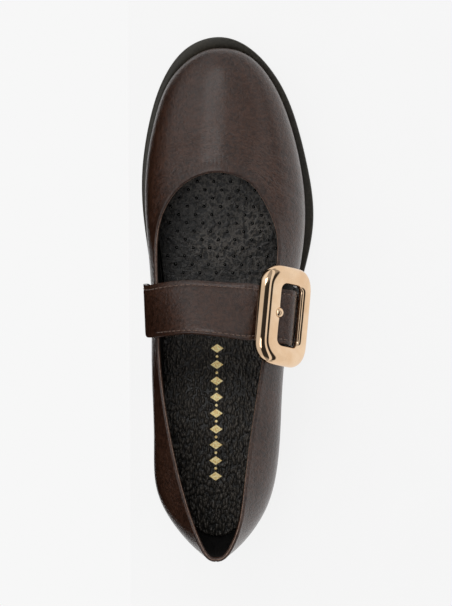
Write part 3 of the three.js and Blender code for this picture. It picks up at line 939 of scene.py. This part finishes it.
# %% Strap
strap = copy_of("strap", "strap_leather")
round_off(strap, levels=3)
strap.data.materials.append(trim_leather)
strap.data.materials.append(lining_leather)
INSTEP_X, INSTEP_Z = 2, 45
INSTEP = Vector((INSTEP_X, 0, INSTEP_Z)) * MM
STRAP_LINED = 0.45


def looks_in(face):
    """How squarely a face looks at the middle of the instep, 1 at most."""
    inward = INSTEP - face.center
    inward.y = 0
    inward.z = inward.z if face.center.z > INSTEP.z else 0
    return face.normal.dot(inward.normalized())


for face in strap.data.polygons:
    if looks_in(face) > STRAP_LINED:
        face.material_index = 1
settle(strap, "upper_leather", "strap")
strap_surface = surface_of(strap)


# %% [markdown]
# To find where the stitches go, rays are shot at the strap from outside, in at the side walls
# and towards the instep's middle over the top. At each angle a row of rays across the strap
# finds its two edges. The seam runs a little over two millimetres inside them, measured on the
# leather, so less in plan where the strap leans towards the toe.


# %% Seams along the strap
SEAM_INSET = 2.3
STITCH_PITCH = 3.1
WELT_TOP = 18
RAY_REACH = 90
FEWEST_HITS = 40
LONGEST_RUN = 4


def aims():
    """Starting places, without Y, and directions of the rays, from the inner welt round."""
    for z in np.arange(WELT_TOP, INSTEP_Z, 0.7):
        yield (-75, z), (1, 0)
    for angle in np.radians(np.arange(180, 0, -0.8)):
        out = (math.cos(angle), math.sin(angle))
        start = (INSTEP_X + RAY_REACH * out[0], INSTEP_Z + RAY_REACH * out[1])
        yield start, (-out[0], -out[1])
    for z in np.arange(INSTEP_Z, WELT_TOP, -0.7):
        yield (80, z), (-1, 0)


front_seam, back_seam = [], []
for (x, z), (dx, dz) in aims():
    hits = []
    for y in np.arange(70, 115, 0.25):
        start = Vector((x, y, z)) * MM
        spot, normal, _, _ = strap_surface.ray_cast(start, Vector((dx, 0, dz)))
        if spot is not None:
            hits.append((y, spot, normal))
    if len(hits) < FEWEST_HITS:
        continue
    centre_normal = hits[len(hits) // 2][2]
    lean = max(0.6, math.hypot(centre_normal.x, centre_normal.z))
    for seam, y in (
        (front_seam, hits[-1][0] - SEAM_INSET * lean),
        (back_seam, hits[0][0] + SEAM_INSET * lean),
    ):
        _, spot, normal = min(hits, key=lambda hit: abs(hit[0] - y))
        seam.append((Vector((spot.x, y * MM, spot.z)), normal))


def steadied(seam):
    """The same seam with its small steps averaged away."""
    spots = [spot for spot, _ in seam]
    for _ in range(6):
        middle = [(a + b + c) / 3 for a, b, c in zip(spots, spots[1:], spots[2:])]
        spots = [spots[0], *middle, spots[-1]]
    return [(spot, normal) for spot, (_, normal) in zip(spots, seam)]


def evenly(seam, pitch):
    """Places along a seam at an even pitch: spot, normal, direction."""
    placed = []
    walked = 0.0
    for (a, normal), (b, _) in zip(seam, seam[1:]):
        run = (b - a).length
        if run > LONGEST_RUN * MM:
            continue
        while walked <= run:
            placed.append((a.lerp(b, walked / run), normal, (b - a).normalized()))
            walked += pitch * MM
        walked -= run
    return placed


front_seam, back_seam = steadied(front_seam), steadied(back_seam)
front_places = evenly(front_seam, STITCH_PITCH)
back_places = evenly(back_seam, STITCH_PITCH)
print("stitches:", len(front_places), "front,", len(back_places), "back")

# %% [markdown]
# Each stitch pulls the leather down a little and goes through a needle hole at either end. The
# seam is a shallow groove in the strap, and every hole is a dimple at the end of a stitch: the
# strap's own points near these places move inwards. The stitches then lie in the groove, as
# copies of one short bar with rounded ends.


# %% Groove, holes and stitches
def dent(piece, spots, width, depth):
    """Moves the points near any of the spots inwards, most at the spot itself."""
    tree = KDTree(len(spots))
    for number, (spot, normal) in enumerate(spots):
        tree.insert(spot, number)
    tree.balance()
    points = points_of(piece)
    for i, point in enumerate(points):
        spot, number, away = tree.find(point)
        if away < 2.5 * width * MM:
            fall = math.exp(-((away / (width * MM)) ** 2)) * depth * MM
            points[i] = Vector(point) - spots[number][1] * fall
    move_points(piece, points)


GROOVE_WIDTH, GROOVE_DEPTH = 0.9, 0.3
HOLE_WIDTH, HOLE_DEPTH = 0.45, 0.3
THREAD_RADIUS = 0.27
STITCH_STRETCH = 0.85
STITCH_SINK = 0.16

seam_spots = front_seam + back_seam
dent(strap, seam_spots, GROOVE_WIDTH, GROOVE_DEPTH)
half = 0.5 * STITCH_PITCH * MM
sewn = front_places + back_places
holes = [(spot + along * half, normal) for spot, normal, along in sewn]
dent(strap, holes, HOLE_WIDTH, HOLE_DEPTH)

bpy.ops.object.select_all(action="DESELECT")
bpy.ops.mesh.primitive_uv_sphere_add(segments=8, ring_count=6, radius=THREAD_RADIUS * MM)
stitch = bpy.context.object
stitch.data.transform(Matrix.Rotation(math.radians(90), 4, "Y"))
for vertex in stitch.data.vertices:
    if abs(vertex.co.x) > 0.05 * MM:
        vertex.co.x += math.copysign(STITCH_STRETCH * MM, vertex.co.x)
placings = [
    turned_to(spot - normal * STITCH_SINK * MM, normal, along) for spot, normal, along in sewn
]
stitches = strewn(stitch, placings, "strap_stitches")
stitches.data.materials.append(thread)
settle(stitches, "upper_leather")

# %% [markdown]
# Behind the buckle a band of black elastic holds it to the shoe. It runs from the bar down the
# outer wall, a little wider than the strap, so that it fills the ends of the buckle's window.
# It is made from the strap's own underside there: those faces are copied off, widened, laid
# closer to the wall and given a thickness.

# %% Elastic band
BAND_START = 31
BAND_LINED = 0.5
BAND_WIDER = 1.2
BAND_THICK = 0.4
band = copy_of("strap", "elastic_band")
under = {
    p.index
    for p in band.data.polygons
    if p.center.x > BAND_START * MM and looks_in(p) > BAND_LINED
}
pick(band, [p.index for p in band.data.polygons if p.index not in under])
bpy.ops.mesh.delete(type="FACE")
bpy.ops.object.mode_set(mode="OBJECT")
points = points_of(band)
middle = float(np.mean(points[:, 1]))
points[:, 1] = middle + (points[:, 1] - middle) * BAND_WIDER
move_points(band, points)
only(band)
thick = band.modifiers.new("thick", "SOLIDIFY")
thick.thickness = BAND_THICK * MM
thick.offset = 0.6
bpy.ops.object.modifier_apply(modifier=thick.name)
skin = band.modifiers.new("round", "SUBSURF")
skin.levels = skin.render_levels = 2
bpy.ops.object.modifier_apply(modifier=skin.name)
bpy.ops.object.shade_smooth()
band.data.materials.append(elastic)
print("elastic faces:", len(under))
settle(band, "lining")

# %% [markdown]
# The buckle is a curved, domed frame with a bar behind it and a prong. The frame and the prong
# are copied and rounded, and mirror-bright metal shows every ripple, so their faces are left as
# even as they are. The prong's tip is a small ball, so its points swell about the ball's middle.
# The swelling stops short at its reach instead of fading out, so just below the ball the pin's
# skin folds over itself. A growth that fades with the distance would avoid that. The bar keeps
# its CAD shape and takes the same gold.

# %% Buckle
buckle = copy_of("buckle_frame", "buckle_ring")
round_off(buckle, rounds=0)
prong = copy_of("buckle_prong", "prong_pin")
round_off(prong, levels=1, rounds=0)
TIP_RADIUS = 1.5
TIP_REACH = 3.0
TIP_GROWTH = 1.9
crown = max(prong.data.vertices, key=lambda v: v.co.z).co
ball_middle = crown - Vector((0, 0, TIP_RADIUS * MM))
for vertex in prong.data.vertices:
    away = (vertex.co - ball_middle).length
    if away < TIP_REACH * MM:
        vertex.co = ball_middle + (vertex.co - ball_middle) * TIP_GROWTH
for piece, node in ((buckle, "buckle_frame"), (prong, "buckle_prong")):
    piece.data.materials.append(gold)
    settle(piece, "buckle_metal", node)
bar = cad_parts["buckle_bar"]
bar.data.materials.clear()
bar.data.materials.append(gold)

# %% [markdown]
# The set is a pale table that gives off light of its own, as a lit table does, so there is next
# to no shadow and the shoe's outer wall is lit from below. The table ends just beside the inner
# side of the sole. From there on the shoe has nothing bright to mirror, and its inner wall stays
# dark, which sets the two sides apart.

# %% Table
TABLE_INNER_X = -0.046
TABLE_OUTER_X = 1.6
TABLE_HALF_Y = 1.4
TABLE_GLOW = 0.85
BELOW_SOLE = -0.0002
bpy.ops.object.select_all(action="DESELECT")
bpy.ops.mesh.primitive_grid_add(
    x_subdivisions=4, y_subdivisions=4, size=1, location=(0, 0, BELOW_SOLE)
)
floor = bpy.context.object
floor.name = "studio_table"
across = TABLE_OUTER_X - TABLE_INNER_X
floor.data.transform(
    Matrix.Translation((TABLE_INNER_X + across / 2, 0.1, 0))
    @ Matrix.Diagonal((across, 2 * TABLE_HALF_Y, 1, 1))
)
table = Finish("pale_table", Roughness=0.9)
table.shader.inputs["Specular IOR Level"].default_value = 0.0
paper = table.noise(30.0)
greys = ((0.11, 0.11, 0.11, 1), (0.13, 0.13, 0.13, 1))
table.to_shader(Base_Color=table.blend(paper, *greys))
table.shader.inputs["Emission Color"].default_value = (1, 1, 1, 1)
table.shader.inputs["Emission Strength"].default_value = TABLE_GLOW
floor.data.materials.append(table.material)


# %% [markdown]
# Two soft lamps stand over the toe and over the inner side. They lay a faint broad sheen on the
# vamp, a little to the inner side of its middle.


# %% Lamps
def lamp(name, place, aim, size, power):
    """A rectangular soft lamp at a place, turned to face a point."""
    place, aim = Vector(place), Vector(aim)
    turn = (place - aim).to_track_quat("Z", "Y").to_euler()
    bpy.ops.object.select_all(action="DESELECT")
    bpy.ops.object.light_add(type="AREA", location=place, rotation=turn)
    light = bpy.context.object
    light.name = name
    light.data.shape = "RECTANGLE"
    light.data.size, light.data.size_y = size
    light.data.energy = power
    return light


SHOE_MIDDLE = (0, 0.1, 0.05)
lamp("toe_lamp", (-0.16, 0.9, 1.3), SHOE_MIDDLE, (0.5, 0.45), 2.4)
lamp("top_lamp", (-0.2, 0.12, 1.55), SHOE_MIDDLE, (0.7, 0.5), 2.2)

# %% [markdown]
# The room is a tent of white cloth, and its lights are what the polished buckle mirrors: a white
# panel on the inner side, a long narrow strip of light high on the outer side, bright cloth low
# down on the outer side, and dimmer cloth at the toe and heel ends. Between them the tent is dim,
# and those dim stretches draw the dark stripes on the metal. It is painted by direction: the tilt
# is the angle from straight up, in radians, above 0 towards the outer side. The camera itself sees
# plain white, so that the table has no edge.

# %% Room
sky = bpy.data.worlds.new("studio_room")
bpy.context.scene.world = sky
sky.use_nodes = True
room = Web(sky.node_tree)
direction = room.node("TexCoord")
towards = [room.node("SeparateXYZ", values={0: direction}, output=axis) for axis in range(3)]
tilt = towards[0].maths("ARCTAN2", towards[2])
PANEL_TOP, PANEL_FOOT = (0.15, 0.3), (1.1, 1.3)
STRIP_TILT, STRIP_EDGE = 0.8, (0.1, 0.18)
SIDE_EDGE = (1.2, 1.3)
panel = (-tilt).step(*PANEL_TOP) * (1.0 - (-tilt).step(*PANEL_FOOT))
strip_light = 1.0 - (tilt - STRIP_TILT).size().step(*STRIP_EDGE)
side_cloth = tilt.step(*SIDE_EDGE) * towards[0].step(0.3, 0.5)
toe_cloth = towards[1].step(0.3, 0.6)
heel_cloth = (-towards[1]).step(0.75, 0.95)
lit = 0.03 + 0.65 * panel + 0.85 * (strip_light + side_cloth) + 0.33 * toe_cloth
lit = lit + 0.35 * heel_cloth
lit = lit.maths("MINIMUM", 0.9)
low_inner_side = (-towards[0]).step(0.0, 0.1) * (-towards[2]).step(-0.1, 0.05)
shone = lit * (1.0 - 0.96 * low_inner_side)
SEEN_WHITE = (0.93, 0.93, 0.93, 1)
seen = room.node("LightPath", output="Is Camera Ray")
grey = room.node("CombineColor", values={0: shone, 1: shone, 2: shone})
light = room.blend(seen, grey, SEEN_WHITE)
background = sky.node_tree.nodes["Background"]
room.feed(background.inputs["Color"], light)
background.inputs["Strength"].default_value = 1.0
bpy.context.scene.view_settings.view_transform = "Standard"
